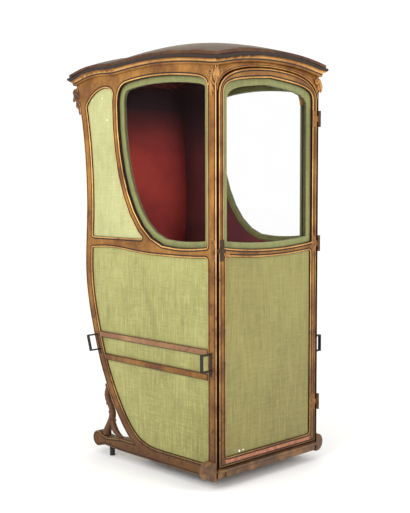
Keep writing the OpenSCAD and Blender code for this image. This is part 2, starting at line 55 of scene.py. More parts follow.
class Wire:
    """A shader value that can be reckoned with."""

    def __init__(self, tree, socket):
        self.tree = tree
        self.socket = socket

    def node(self, kind, settings=None, out=0, **values):
        made = self.tree.nodes.new(kind)
        for name, value in (settings or {}).items():
            if name == "stops":
                ramp = made.color_ramp
                while len(ramp.elements) < len(value):
                    ramp.elements.new(0.5)
                for element, (place, colour) in zip(ramp.elements, value):
                    element.position = place
                    element.color = colour
            else:
                setattr(made, name, value)
        for name, value in values.items():
            key = int(name[1:]) if name[0] == "_" else name.replace("_", " ")
            if isinstance(value, Wire):
                self.tree.links.new(value.socket, made.inputs[key])
            else:
                made.inputs[key].default_value = value
        return Wire(self.tree, made.outputs[out])

    def maths(self, operation, a, b=0.0):
        return self.node("ShaderNodeMath", {"operation": operation}, _0=a, _1=b)

    def __add__(self, other):
        return self.maths("ADD", self, other)

    __radd__ = __add__

    def __mul__(self, other):
        return self.maths("MULTIPLY", self, other)

    __rmul__ = __mul__

    def __sub__(self, other):
        return self.maths("SUBTRACT", self, other)

    def __rsub__(self, other):
        return self.maths("SUBTRACT", other, self)

    def along(self, axis):
        """One coordinate of a place: 0 across, 1 front to back, 2 the height."""
        return self.node("ShaderNodeSeparateXYZ", None, axis, _0=self)

    def between(self, start, end):
        """0 at start, rising to 1 at end."""
        return self.node("ShaderNodeMapRange", _0=self, _1=start, _2=end, _3=0.0, _4=1.0)

    def noise(self, scale, detail=3.0, rough=0.55, stretch=(1, 1, 1)):
        place = self.node("ShaderNodeMapping", _0=self, _3=stretch)
        return self.node("ShaderNodeTexNoise", _0=place, Scale=scale, Detail=detail, Roughness=rough)


def blended(mask, under, over):
    """The colour over, laid on the colour under where mask is 1."""
    wire = mask if isinstance(mask, Wire) else under
    return wire.node("ShaderNodeMix", {"data_type": "RGBA"}, 2, _0=mask, _6=under, _7=over)


def finish(name):
    """A new material: its surface node, its output and the place on the object."""
    made = bpy.data.materials.new(name)
    made.use_nodes = True
    tree = made.node_tree
    surface = tree.nodes["Principled BSDF"]
    place = Wire(tree, tree.nodes.new("ShaderNodeTexCoord").outputs["Object"])
    return made, surface, place


def feed(surface, bump=None, depth=0.001, strength=0.5, **values):
    """Sets the surface's sockets, and its relief from a height."""
    tree = surface.id_data
    for name, value in values.items():
        socket = surface.inputs[name.replace("_", " ")]
        if isinstance(value, Wire):
            tree.links.new(value.socket, socket)
        else:
            socket.default_value = value
    if bump is not None:
        relief = bump.node("ShaderNodeBump", Strength=strength, Distance=depth, Height=bump)
        tree.links.new(relief.socket, surface.inputs["Normal"])


def rgb(red, green, blue):
    """A colour as a dyer would match it, from 0 to 255, made linear."""
    return tuple(((v / 255 + 0.055) / 1.055) ** 2.4 for v in (red, green, blue)) + (1.0,)


def gilding(name, leaf, deep, rub, wear=0.5, shine=0.5, boots=None):
    """Old leaf on clay: bright where it is whole, rubbed through to clay and wood, and darkened in its hollows
    with painted shade that stands in also for the dirt they hold.

    boots is the top and the half width of a foot rail that is kicked bare to the clay."""
    made, surface, place = finish(name)
    cloud = place.noise(7.0, 4.0, 0.6)
    grain = place.noise(48.0, 5.0, 0.68)
    streak = place.noise(95.0, 4.0, 0.7, (1.0, 1.0, 0.22))
    fine = place.noise(380.0, 3.0, 0.65)
    # Painted shade: the occlusion node darkens hollows and crevices, standing in also for the dirt they hold.
    hollow_shade = place.node("ShaderNodeAmbientOcclusion", {"samples": 6, "only_local": True}, 1, Distance=0.010)
    hollow_shade = (1.0 - hollow_shade).between(0.10, 0.52)
    low_down = place.along(2).between(1.05, 0.12)
    foot = place.along(2).between(0.17, 0.07)
    worn = (cloud * 0.5 + grain * 0.5 + low_down * 0.10).between(0.62 - 0.14 * wear, 0.74 - 0.14 * wear)
    colour = blended(cloud.between(0.38, 0.62), leaf, deep)
    colour = blended(streak.between(0.48, 0.72) * 0.6, colour, deep)
    colour = blended(worn * 0.75, colour, rub)
    dark = rgb(46, 27, 14)
    colour = blended(low_down * 0.6 + foot * 0.2, colour, rgb(80, 51, 27))
    colour = blended(grain.between(0.56, 0.74) * (low_down * 0.5 + 0.35), colour, dark)
    colour = blended(hollow_shade * 0.9, colour, dark)
    colour = blended(fine.between(0.64, 0.78) * 0.45, colour, dark)
    if boots:
        top, reach = boots
        across = place.maths("ABSOLUTE", place.along(0))
        up = place.along(2)
        kicked = up.between(top + 0.001, top - 0.002) * across.between(reach + 0.002, reach - 0.001)
        clay = blended(grain.between(0.36, 0.66), rgb(186, 124, 92), rgb(138, 84, 60))
        clay = blended(streak.between(0.54, 0.76) * 0.6, clay, rgb(112, 66, 42))
        colour = blended(kicked * (1.0 - hollow_shade * 0.8), colour, clay)
    rough = 0.40 + worn * 0.22 + hollow_shade * 0.2 + grain * 0.12
    feed(surface, grain * 0.6 + fine * 0.4, 0.0016, 0.6, Base_Color=colour, Roughness=rough,
         Metallic=(1.0 - worn) * shine)
    surface.inputs["Specular IOR Level"].default_value = 0.3
    return made


gilt = gilding("gilding", rgb(174, 122, 56), rgb(122, 78, 35), rgb(102, 56, 31), 0.5, 0.4)
# A lighter copy of the gilding for the beads' crowns: a painted highlight.
highlight_gilt = gilding("highlight_gilding", rgb(232, 180, 104), rgb(186, 128, 66), rgb(130, 76, 44), 0.4, 0.35)
brown_gilt = gilding("browned_gilding", rgb(100, 64, 34), rgb(72, 43, 24), rgb(58, 34, 21), 0.8, 0.2)


def shade_and_grime_brown(name, shade):
    """Near-black brown for the sunk lines, reveals and gaps: painted shade, with the glaze and dirt the sunk
    lines hold.
    """
    made, surface, place = finish(name)
    grain = place.noise(150.0, 4.0, 0.6)
    colour = blended(grain.between(0.35, 0.75), shade, tuple(v * 2.3 for v in shade[:3]) + (1.0,))
    feed(surface, grain, 0.0008, 0.4, Base_Color=colour, Roughness=0.62 + grain * 0.2)
    return made


line_shade_and_grime = shade_and_grime_brown("sunk_lines_shade_and_grime", rgb(30, 17, 9))
# Near-black for the door's gap and the members' reveals: painted shade.
gap_shade = shade_and_grime_brown("door_gap_shade", rgb(30, 20, 13))


def merged_copy(piece_name, *nodes, flat=True):
    """A new piece with the merged meshes of CAD nodes."""
    bpy.ops.object.select_all(action="DESELECT")
    copies = []
    for node in nodes:
        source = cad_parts[node]
        copy = bpy.data.objects.new(piece_name, source.data.copy())
        copy.data.materials.clear()
        bpy.context.scene.collection.objects.link(copy)
        copies.append(copy)
    for copy in copies:
        copy.select_set(True)
    bpy.context.view_layer.objects.active = copies[0]
    if len(copies) > 1:
        bpy.ops.object.join()
    piece = bpy.context.view_layer.objects.active
    edit(piece)
    bpy.ops.mesh.select_all(action="SELECT")
    bpy.ops.mesh.remove_doubles(threshold=0.00002)
    if flat:
        bpy.ops.mesh.dissolve_limited(angle_limit=math.radians(0.3))
    bpy.ops.object.mode_set(mode="OBJECT")
    return piece


def alone(piece):
    """In object mode with only this piece selected."""
    if bpy.context.mode != "OBJECT":
        bpy.ops.object.mode_set(mode="OBJECT")
    bpy.ops.object.select_all(action="DESELECT")
    piece.select_set(True)
    bpy.context.view_layer.objects.active = piece


def edit(piece):
    """Opens a piece in edit mode with nothing selected."""
    alone(piece)
    bpy.ops.object.mode_set(mode="EDIT")
    bpy.ops.mesh.select_mode(type="FACE")
    bpy.ops.mesh.select_all(action="DESELECT")


def pick_faces(piece, wanted):
    """Selects the faces that wanted(centre, normal) accepts, and counts them."""
    bpy.ops.mesh.select_mode(type="FACE")
    bpy.ops.mesh.select_all(action="DESELECT")
    mesh = bmesh.from_edit_mesh(piece.data)
    count = 0
    for face in mesh.faces:
        chosen = bool(wanted(face.calc_center_median(), face.normal))
        face.select_set(chosen)
        count += chosen
    bmesh.update_edit_mesh(piece.data)
    return count


def paint_picked(piece, slot):
    """Gives the selected faces one of the piece's finishes."""
    mesh = bmesh.from_edit_mesh(piece.data)
    for face in mesh.faces:
        if face.select:
            face.material_index = slot
    bmesh.update_edit_mesh(piece.data)


def run_moulding(piece, steps, even=True):
    """Works a moulding into the selected faces from their edges in: (width, rise, finish) a step."""
    for width, rise, slot in steps:
        paint_picked(piece, slot)
        bpy.ops.mesh.inset(thickness=width, depth=rise, use_boundary=True, use_even_offset=even)


def leave(piece, smooth=32):
    """Back to object mode, shaded smooth up to an angle."""
    alone(piece)
    bpy.ops.object.shade_smooth_by_angle(angle=math.radians(smooth))
    return piece


def give(piece, *finishes):
    """The piece's finishes, one a slot; every face keeps the slot it was painted with."""
    slots = [face.material_index for face in piece.data.polygons]
    piece.data.materials.clear()
    for one in finishes:
        piece.data.materials.append(one)
    piece.data.polygons.foreach_set("material_index", [min(slot, len(finishes) - 1) for slot in slots])


def settle(piece, body, slot, *nodes):
    """A finished piece rides on its body and stands for its CAD nodes."""
    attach(piece, body)
    if nodes:
        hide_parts(*nodes)
    return piece


SAME = 0.0001     # two points nearer than this are one
PROUD = 0.0006    # how far a planted facing stands off its members


def face_loops(nodes, facing, level):
    """The closed lines round the faces of CAD nodes that lie in one plane, joints left out."""
    points, lines = [], []

    def known(point):
        for index, other in enumerate(points):
            if (other - point).length < SAME:
                return index
        points.append(point.copy())
        return len(points) - 1

    for node in nodes:
        mesh = bmesh.new()
        mesh.from_mesh(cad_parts[node].data)
        bmesh.ops.remove_doubles(mesh, verts=mesh.verts, dist=0.00002)
        flat = {face for face in mesh.faces if face.normal.dot(facing) > 0.99
                and abs(face.verts[0].co.dot(facing) - level) < 4 * SAME}
        for face in flat:
            for loop in face.loops:
                if sum(other in flat for other in loop.edge.link_faces) == 1:
                    lines.append((known(loop.vert.co), known(loop.link_loop_next.vert.co)))
        mesh.free()
    pieces = {}
    for start, end in lines:
        a, b = points[start], points[end]
        run = b - a
        length = run.length
        cuts = [start, end]
        for index, point in enumerate(points):
            along = (point - a).dot(run) / length
            aside = (point - a - run * (along / length)).length
            if SAME < along < length - SAME and aside < 0.00012:
                cuts.append(index)
        cuts.sort(key=lambda index: (points[index] - a).dot(run))
        for pair in zip(cuts, cuts[1:]):
            if pair[::-1] in pieces:
                del pieces[pair[::-1]]
            else:
                pieces[pair] = True
    follows = {}
    for start, end in pieces:
        follows.setdefault(start, []).append(end)
    loops = []
    while follows:
        start = next(iter(follows))
        loop = [start]
        while loop[-1] in follows:
            ends = follows[loop[-1]]
            loop.append(ends.pop())
            if not ends:
                del follows[loop[-2]]
        if len(loop) > 6:
            loops.append([points[index] for index in loop[:-1]])
    return loops


def eased(loop, radius, closest=0.0012):
    """A closed line without its shortest steps, each sharp corner turned on a radius."""
    kept = [p for i, p in enumerate(loop) if (p - loop[i - 1]).length > closest]
    out = []
    for i, p in enumerate(kept):
        back, on = kept[i - 1] - p, kept[(i + 1) % len(kept)] - p
        turn = math.pi - back.angle(on)
        if turn < 0.6 or radius == 0:
            out.append(p)
            continue
        reach = radius * min(1.6, math.tan(turn / 2))
        start = p + back.normalized() * min(reach, back.length * 0.47)
        end = p + on.normalized() * min(reach, on.length * 0.47)
        for step in range(7):
            t = step / 6
            out.append(start * (1 - t) ** 2 + p * (2 * t * (1 - t)) + end * t ** 2)
    return out


def crisp(loop, reach=0.016):
    """A closed line with its sharp corners kept and the points close beside them dropped."""
    kept = [p for i, p in enumerate(loop) if (p - loop[i - 1]).length > 0.0012]
    sharp = [p for i, p in enumerate(kept) if (p - kept[i - 1]).angle(kept[(i + 1) % len(kept)] - p) > 1.0]
    return [p for p in kept if p in sharp or all((p - corner).length > reach for corner in sharp)]


def planted(piece_name, nodes, facing, level, radius, under, steps):
    """A moulded facing over the joined members: made from their outline, thickened and worked."""
    loops = face_loops(nodes, facing, level)
    loops.sort(key=lambda loop: -max((a - b).length for a in loop[::3] for b in loop[::3]))
    mesh = bpy.data.meshes.new(piece_name)
    drawn = bmesh.new()
    for number, loop in enumerate(loops):
        line = eased(loop, radius) if number else crisp(loop)
        corners = [drawn.verts.new(p - facing * under) for p in line]
        for a, b in zip(corners, corners[1:] + corners[:1]):
            drawn.edges.new((a, b))
    drawn.to_mesh(mesh)
    drawn.free()
    piece = bpy.data.objects.new(piece_name, mesh)
    bpy.context.scene.collection.objects.link(piece)
    edit(piece)
    bpy.ops.mesh.select_mode(type="EDGE")
    bpy.ops.mesh.select_all(action="SELECT")
    bpy.ops.mesh.fill(use_beauty=True)
    bpy.ops.mesh.select_mode(type="FACE")
    bpy.ops.mesh.select_all(action="SELECT")
    bpy.ops.mesh.extrude_region_move(TRANSFORM_OT_translate={"value": tuple(facing * (under + PROUD))})
    bpy.ops.mesh.select_all(action="SELECT")
    bpy.ops.mesh.normals_make_consistent(inside=False)
    pick_faces(piece, lambda at, way: way.dot(facing) > 0.99 and at.dot(facing) > level)
    run_moulding(piece, steps)
    paint_picked(piece, 0)
    return piece


# The frame's moulding from an edge in: each step's width, its rise, and 1 for the bead's painted highlight,
# 2 for the sunk line's painted shade or 0 for the flat.
BEAD = [(0.0012, 0.0012, 1), (0.0022, 0.0010, 1), (0.0014, -0.0006, 1), (0.0004, -0.0016, 2),
        (0.0046, 0.0, 2), (0.0004, 0.0014, 0), (0.0006, 0.0004, 0)]

for side, sign in (("left", -1), ("right", 1)):
    members = ["front_post_", "waist_rail_", "window_stile_", "top_rail_", "rear_post_", "runner_"]
    members = [member + side for member in members]
    facing = planted("side_moulding_" + side, members, Vector((sign, 0, 0)), half_width, 0.017, 0.0065, BEAD)
    # The facing's side walls, which line the openings' reveals, are painted dark as shade.
    pick_faces(facing, lambda at, way: abs(way.x) < 0.3 and way.y < 0.3)
    paint_picked(facing, 2)
    leave(facing)
    give(facing, gilt, highlight_gilt, line_shade_and_grime)
    settle(facing, "chair", "gilt_wood")
    # The members' own faces, showing only in the reveals and the door's gap, are painted near-black as shade;
    # the rear posts keep the gilding.
    for member in members:
        give(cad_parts[member], gilt if "rear_post" in member else gap_shade)


# ---- The silk panels ----
# Thin boards behind the frame, covered with slubbed green silk that is turned in at the edges.
# The silk has faded unevenly and has small nicks and rubs that show white.

def slub_silk(name, light, deep, thread, nicks=(), shade_reach=0.016):
    """Woven silk: thick and thin threads both ways, cloudy fading and a soft sheen.

    nicks are the places and sizes of small white tears; the last argument is how far in the painted shade from
    nearby parts reaches."""
    made, surface, place = finish(name)
    slubs = place.noise(130.0, 4.0, 0.72, (1.0, 1.0, 0.07))
    weft = place.noise(140.0, 4.0, 0.72, (0.07, 0.07, 1.0))
    cloud = place.noise(2.6, 3.0, 0.5)
    stain = place.noise(14.0, 5.0, 0.62, (1.0, 1.0, 0.4))
    fine_up = place.noise(620.0, 1.0, 0.5, (1.0, 1.0, 0.05))
    fine_over = place.noise(620.0, 1.0, 0.5, (0.05, 0.05, 1.0))
    # Painted shade: the occlusion node darkens the silk where nearby parts crowd it.
    hollow_shade = place.node("ShaderNodeAmbientOcclusion", {"samples": 6}, 1, Distance=shade_reach)
    shade = (1.0 - hollow_shade).between(0.22, 0.72)
    height = place.along(2)
    dim = tuple(v * 0.66 for v in deep[:3]) + (1.0,)
    colour = blended(cloud.between(0.35, 0.65) * 0.4 + height.between(0.80, 0.15) * 0.6, light, deep)
    colour = blended(slubs.between(0.50, 0.72) * 0.55, colour, thread)
    colour = blended(slubs.between(0.46, 0.28) * 0.45, colour, dim)
    colour = blended(weft.between(0.52, 0.74) * 0.32, colour, thread)
    colour = blended(weft.between(0.44, 0.28) * 0.28, colour, dim)
    colour = blended(stain.between(0.52, 0.72) * 0.4, colour, dim)
    colour = blended(fine_up.between(0.45, 0.7) * 0.25, colour, dim)
    colour = blended(fine_over.between(0.45, 0.7) * 0.2, colour, thread)
    colour = blended(shade * min(0.95, shade_reach * 47), colour, rgb(50, 40, 20))
    for spot, size in nicks:
        away = place.node("ShaderNodeVectorMath", {"operation": "DISTANCE"}, 1, _0=place, _1=spot)
        ragged = away + place.noise(240.0, 2.0, 0.5) * 0.004
        colour = blended(ragged.between(size + 0.0022, size + 0.0012), colour, rgb(246, 244, 236))
    relief = slubs * 0.5 + weft * 0.35 + (fine_up + fine_over) * 0.25
    feed(surface, relief, 0.0010, 0.55, Base_Color=colour, Roughness=0.62 + slubs * 0.2)
    surface.inputs["Sheen Weight"].default_value = 0.15
    surface.inputs["Sheen Roughness"].default_value = 0.4
    return made


side_silk = slub_silk("side_silk", rgb(166, 164, 96), rgb(122, 116, 54), rgb(192, 190, 132))
pale_silk = slub_silk("quarter_silk", rgb(182, 182, 124), rgb(166, 164, 102), rgb(204, 204, 156),
                      [((-0.292, 0.322, 1.528), 0.0036), ((-0.292, 0.254, 1.532), 0.0034),
                       ((-0.292, 0.222, 1.440), 0.0046)])
door_silk = slub_silk("door_silk", rgb(142, 136, 74), rgb(120, 110, 56), rgb(164, 158, 98),
                      [((-0.170, -0.427, 0.131), 0.0050), ((-0.148, -0.427, 0.132), 0.0040)])
PILLOW = [(0.0010, 0.0006, 0), (0.0016, 0.0007, 0), (0.0022, 0.0004, 0)]


def silk_panel(node, body, cloth, facing):
    """A covered board: its cloth swells a little from the edges, over a thin pad."""
    panel = merged_copy(node + "_silk", node)
    edit(panel)
    pick_faces(panel, lambda at, way: way.dot(facing) > 0.6)
    bpy.ops.mesh.quads_convert_to_tris(ngon_method="BEAUTY")
    run_moulding(panel, PILLOW, even=False)
    leave(panel, 50)
    give(panel, cloth)
    return settle(panel, body, "green_silk", node)


for side, sign in (("left", -1), ("right", 1)):
    outward = Vector((sign, 0, 0))
    silk_panel("lower_panel_" + side, "chair", side_silk, outward)
    silk_panel("quarter_panel_" + side, "chair", pale_silk, outward)
silk_panel("back_panel_upper", "chair", pale_silk, Vector((0, 1, 0)))
silk_panel("back_panel_lower", "chair", side_silk, Vector((0, 0.9, -0.3)))
silk_panel("door_panel", "door", door_silk, Vector((0, -1, 0)))


# ---- The crimson lining ----
# Silk velvet glued and nailed to the inside of the walls, the roof and the door, worn pale
# along the window edges, and darkened under the roof with painted shade.

def velvet(name, light, deep, worn):
    """Old crimson velvet, with the pile rubbed in clouds."""
    made, surface, place = finish(name)
    cloud = place.noise(5.0, 5.0, 0.62)
    rub = place.noise(17.0, 5.0, 0.7, (1.0, 1.0, 0.5))
    pile = place.noise(700.0, 2.0, 0.6)
    colour = blended(cloud.between(0.32, 0.7), light, deep)
    colour = blended(rub.between(0.58, 0.8) * 0.5, colour, worn)
    colour = blended(pile.between(0.4, 0.8) * 0.25, colour, deep)
    height = place.along(2)
    # Painted shade: the upper walls just under the roof are darkened, less so on the ceiling.
    shade_under_roof = height.between(1.30, 1.52) * (1.0 - height.between(1.60, 1.66) * 0.6)
    colour = blended(shade_under_roof, colour, rgb(44, 24, 32))
    feed(surface, pile * 0.6 + rub * 0.4, 0.001, 0.5, Base_Color=colour, Roughness=0.82 + pile * 0.12)
    surface.inputs["Sheen Weight"].default_value = 0.35
    surface.inputs["Sheen Roughness"].default_value = 0.5
    surface.inputs["Sheen Tint"].default_value = (0.8, 0.25, 0.22, 1.0)
    return made


crimson = velvet("crimson_velvet", rgb(190, 62, 50), rgb(142, 38, 38), rgb(196, 108, 94))
wine = velvet("wine_velvet", rgb(118, 46, 52), rgb(80, 34, 42), rgb(144, 82, 80))
for node, facing in (("side_lining_left", (1, 0, 0)), ("side_lining_right", (-1, 0, 0)),
                     ("back_lining", (0, -1, 0)), ("ceiling_lining", (0, 0, -1)), ("door_lining", (0, 1, 0))):
    cloth = merged_copy(node + "_velvet", node)
    edit(cloth)
    pick_faces(cloth, lambda at, way: way.dot(Vector(facing)) > 0.7)
    run_moulding(cloth, [(0.0015, 0.0008, 0), (0.0020, 0.0005, 0)], even=False)
    leave(cloth, 50)
    give(cloth, crimson if node in ("back_lining", "door_lining") else wine)
    settle(cloth, "door" if node == "door_lining" else "chair", "crimson_lining", node)


# ---- The door's frame ----
# Two stiles and three rails, gilded and moulded like the sides. The arched head follows
# the cornice; the foot rail has lost its gilding to boots and shows reddish clay.

door_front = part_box("door_stiles")[0].y
door_members = ["door_stiles", "door_top_rail", "door_waist_rail", "door_foot_rail"]
door_face = planted("door_moulding", door_members, Vector((0, -1, 0)), -door_front, 0.014, 0.0055, BEAD)
# The facing's side walls in the openings' reveals are painted dark as shade.
pick_faces(door_face, lambda at, way: abs(way.y) < 0.3)
paint_picked(door_face, 2)
leave(door_face)
foot_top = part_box("door_foot_rail")[1].z
door_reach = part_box("door_panel")[1].x
door_gilt = gilding("door_gilding", rgb(170, 120, 56), rgb(118, 77, 35), rgb(104, 56, 31), 0.5, 0.4,
                    (foot_top, door_reach))
give(door_face, door_gilt, highlight_gilt, line_shade_and_grime)
settle(door_face, "door", "gilt_wood")
for node in door_members:
    give(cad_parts[node], brown_gilt)
header = merged_copy("door_head", "header_rail")
edit(header)
pick_faces(header, lambda at, way: way.y < -0.99 and at.y < front_face + 0.001)
# The head's bead takes the painted highlight and its sunk line the painted shade.
run_moulding(header, [(0.0010, 0.0012, 1), (0.0014, 0.0006, 1), (0.0012, -0.0010, 1), (0.0008, -0.0024, 2),
                      (0.0010, 0.0, 2), (0.0006, 0.0018, 0)])
pick_faces(header, lambda at, way: way.y > 0.6)
paint_picked(header, 3)
leave(header)
give(header, gilt, highlight_gilt, line_shade_and_grime, crimson)
settle(header, "chair", "gilt_wood", "header_rail")


# ---- The back's rails ----
# Two curved rails between the rear posts, gilded like the rest but with plainer edges.

back_rails = merged_copy("back_rails", "back_top_rail", "back_waist_rail")
edit(back_rails)
pick_faces(back_rails, lambda at, way: way.y > 0.7 and at.y > back_face - 0.08)
run_moulding(back_rails, BEAD)
pick_faces(back_rails, lambda at, way: way.y < -0.6)
paint_picked(back_rails, 3)
leave(back_rails)
give(back_rails, gilt, highlight_gilt, line_shade_and_grime, crimson)
settle(back_rails, "chair", "gilt_wood", "back_top_rail", "back_waist_rail")


# ---- The pole mouldings ----
# Two planted strips across each side panel, above and below the poles' line, with a dark line
# of painted shade along their edges. The upper is worn to a pinkish clay, the lower is gold.

pink_gilt = gilding("pink_gilding", rgb(186, 142, 98), rgb(142, 100, 66), rgb(160, 112, 84), 0.8, 0.2)
for side, sign in (("left", -1), ("right", 1)):
    bands = merged_copy("pole_strips_" + side, "pole_bands_" + side)
    edit(bands)
    pick_faces(bands, lambda at, way: way.x * sign > 0.9)
    run_moulding(bands, [(0.0008, 0.0008, 2), (0.0012, 0.0, 2), (0.0008, 0.0014, 0), (0.0012, 0.0006, 0)])
    bottom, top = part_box("pole_bands_" + side)
    for face in bmesh.from_edit_mesh(bands.data).faces:
        if face.material_index == 0 and face.calc_center_median().z < (bottom.z + top.z) / 2:
            face.material_index = 1
    leave(bands)
    give(bands, pink_gilt, gilt, line_shade_and_grime)
    settle(bands, "chair", "gilt_wood", "pole_bands_" + side)


# ---- The cornice ----
# A moulding mitred round the eaves: a dark bottom line of painted shade, a bead with a painted
# highlight, a gold hollow and a browned top edge, all rising and falling with the roof.

cornice = merged_copy("cornice_moulding", "cornice")
edit(cornice)
bpy.ops.mesh.select_all(action="SELECT")
bpy.ops.mesh.tris_convert_to_quads(face_threshold=math.radians(30), shape_threshold=math.radians(60))
cornice_reach = front_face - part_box("cornice")[0].y
eaves_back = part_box("cornice")[1].y - cornice_reach


def overhang(at):
    """How far a point stands out from the body, at the front, the back or a side."""
    return max(abs(at.x) - half_width, front_face - at.y, at.y - eaves_back)


# Each painted run of the profile: how far out it starts and ends, and its finish.
CORNICE_RUNS = ((0.0115, 0.0122, 2), (0.0124, 0.0175, 1), (0.0240, 0.0310, 2))
for face in bmesh.from_edit_mesh(cornice.data).faces:
    reach = [overhang(corner.co) for corner in face.verts]
    level = (min(reach) + max(reach)) / 2
    for start, end, slot in CORNICE_RUNS:
        if start <= level <= end:
            face.material_index = slot
pick_faces(cornice, lambda at, way: overhang(at) < -0.0295 and abs(way.z) < 0.5)
paint_picked(cornice, 3)
leave(cornice, 40)
give(cornice, gilt, highlight_gilt, line_shade_and_grime, crimson)
rounding = cornice.modifiers.new("rounding", "BEVEL")
rounding.width = 0.0012
rounding.segments = 2
rounding.limit_method = "ANGLE"
rounding.angle_limit = math.radians(28)
bpy.ops.object.modifier_apply(modifier="rounding")
leave(cornice, 40)
settle(cornice, "chair", "gilt_wood", "cornice")


# ---- The roof ----
# Boards covered with one hide of greyish leather, stretched over the low dome and nailed
# down behind the cornice's top edge, where it has darkened to brown.

hide, hide_surface, place = finish("roof_hide")
pores = place.node("ShaderNodeTexVoronoi", {"feature": "DISTANCE_TO_EDGE"}, 0, Vector=place, Scale=190.0)
cracks = place.node("ShaderNodeTexVoronoi", {"feature": "DISTANCE_TO_EDGE"}, 0, Vector=place, Scale=26.0)
cloud = place.noise(6.0, 5.0, 0.6)
dust = place.noise(40.0, 4.0, 0.65)
colour = blended(cloud.between(0.32, 0.7), rgb(150, 136, 114), rgb(110, 96, 78))
colour = blended(dust.between(0.45, 0.75) * 0.5, colour, rgb(172, 158, 136))
colour = blended((1.0 - cracks.between(0.0, 0.05)) * 0.35, colour, rgb(82, 68, 54))
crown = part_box("roof")[1].z
rim = place.along(2).between(crown - 0.012, crown - 0.060)
colour = blended(rim * 0.9, colour, blended(dust.between(0.4, 0.7), rgb(92, 66, 42), rgb(64, 46, 30)))
feed(hide_surface, pores.between(0.0, 0.3) * 0.5 + cracks.between(0.0, 0.06) * 0.5, 0.0012, 0.5,
     Base_Color=colour, Roughness=0.55 + dust * 0.2)
roof = merged_copy("roof_leather", "roof")
edit(roof)
bpy.ops.mesh.select_all(action="SELECT")
bpy.ops.mesh.tris_convert_to_quads()
pick_faces(roof, lambda at, way: abs(way.z) < 0.4 or (way.z > 0 and overhang(at) > 0.008))
paint_picked(roof, 1)
leave(roof, 60)
give(roof, hide, brown_gilt)
settle(roof, "chair", "roof_leather", "roof")


# ---- The sashes and panes ----
# Thin wooden frames covered with the same green silk in a darker tone, that hold clear crown
# glass, with painted shade darkening the silk where it sits back behind the frame. The sides' are
# fixed and the door's sits in its head.

# The sash silk's painted shade reaches far, darkening it next to the frame.
sash_silk = slub_silk("sash_silk", rgb(130, 132, 76), rgb(92, 92, 50), rgb(152, 152, 98), (), 0.034)
for side, sign in (("left", -1), ("right", 1)):
    sash = merged_copy("sash_cover_" + side, "side_sash_" + side)
    edit(sash)
    pick_faces(sash, lambda at, way: abs(way.x) > 0.9)
    run_moulding(sash, [(0.0025, 0.0012, 0), (0.0035, 0.0008, 0)])
    leave(sash, 50)
    give(sash, sash_silk)
    settle(sash, "chair", "green_silk", "side_sash_" + side)
sash = merged_copy("door_sash_cover", "door_sash")
edit(sash)
pick_faces(sash, lambda at, way: abs(way.y) > 0.9)
run_moulding(sash, [(0.0025, 0.0012, 0), (0.0035, 0.0008, 0)])
leave(sash, 50)
give(sash, sash_silk)
settle(sash, "door", "green_silk", "door_sash")

pane, pane_surface, place = finish("crown_glass")
ripple = place.noise(7.0, 2.0, 0.5)
feed(pane_surface, ripple, 0.001, 0.10, Base_Color=blended(ripple, rgb(20, 26, 24), rgb(26, 32, 30)),
     Roughness=0.03 + ripple * 0.03, Alpha=0.008 + ripple * 0.012)
for node in ("side_glass_left", "side_glass_right", "door_glass"):
    give(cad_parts[node], pane)


# ---- The seat ----
# A board across the back on a covered riser, and a loose cushion of crimson velvet filled
# with horsehair, piped round its top and bottom edges.

MOST_SWELL = 0.022     # how far the stuffing may push the cover
PIPING = 0.0028        # its radius


def round_lines(piece_name, runs, closed=False, sides=3, steps=4):
    """A piece made of round lines: each run is a row of places with the radius at each."""
    drawn = bpy.data.curves.new(piece_name, "CURVE")
    drawn.dimensions = "3D"
    drawn.bevel_depth = 1.0
    drawn.bevel_resolution = sides
    drawn.use_fill_caps = not closed
    for run in runs:
        line = drawn.splines.new("NURBS")
        line.points.add(len(run) - 1)
        for point, (place, radius) in zip(line.points, run):
            point.co = (*place, 1.0)
            point.radius = radius
        line.order_u = 3
        line.use_endpoint_u = not closed
        line.use_cyclic_u = closed
        line.resolution_u = steps
    piece = bpy.data.objects.new(piece_name, drawn)
    bpy.context.scene.collection.objects.link(piece)
    alone(piece)
    bpy.ops.object.convert(target="MESH")
    return bpy.context.view_layer.objects.active


cushion = merged_copy("seat_cushion_pad", "seat_cushion")
seat_low, seat_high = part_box("seat_cushion")
middle = (seat_low + seat_high) / 2
give(cushion, crimson)
edit(cushion)
bpy.ops.mesh.select_all(action="SELECT")
bpy.ops.transform.resize(value=(0.965, 0.955, 0.80), center_override=tuple(middle))
bpy.ops.object.mode_set(mode="OBJECT")
even_mesh = cushion.modifiers.new("even_mesh", "REMESH")
even_mesh.mode = "VOXEL"
even_mesh.voxel_size = 0.006
bpy.ops.object.modifier_apply(modifier="even_mesh")
sewn = [vertex.co.copy() for vertex in cushion.data.vertices]
stuffing = cushion.modifiers.new("stuffing", "CLOTH")
stuffing.settings.use_pressure = True
stuffing.settings.uniform_pressure_force = 4.0
stuffing.settings.effector_weights.gravity = 0.0
for moment in range(1, 21):
    bpy.context.scene.frame_set(moment)
bpy.ops.object.modifier_apply(modifier="stuffing")
bpy.context.scene.frame_set(1)
for vertex, start in zip(cushion.data.vertices, sewn):
    moved = vertex.co - start
    if moved.length > MOST_SWELL:
        vertex.co = start + moved.normalized() * MOST_SWELL
for axis in range(3):
    spread = [vertex.co[axis] for vertex in cushion.data.vertices]
    low, high = min(spread), max(spread)
    ratio = (seat_high[axis] - seat_low[axis]) / (high - low)
    for vertex in cushion.data.vertices:
        vertex.co[axis] = seat_low[axis] + (vertex.co[axis] - low) * ratio
finer = cushion.modifiers.new("finer", "SUBSURF")
finer.levels = 1
finer.render_levels = 1
bpy.ops.object.modifier_apply(modifier="finer")
leave(cushion, 60)
settle(cushion, "chair", "crimson_lining", "seat_cushion")
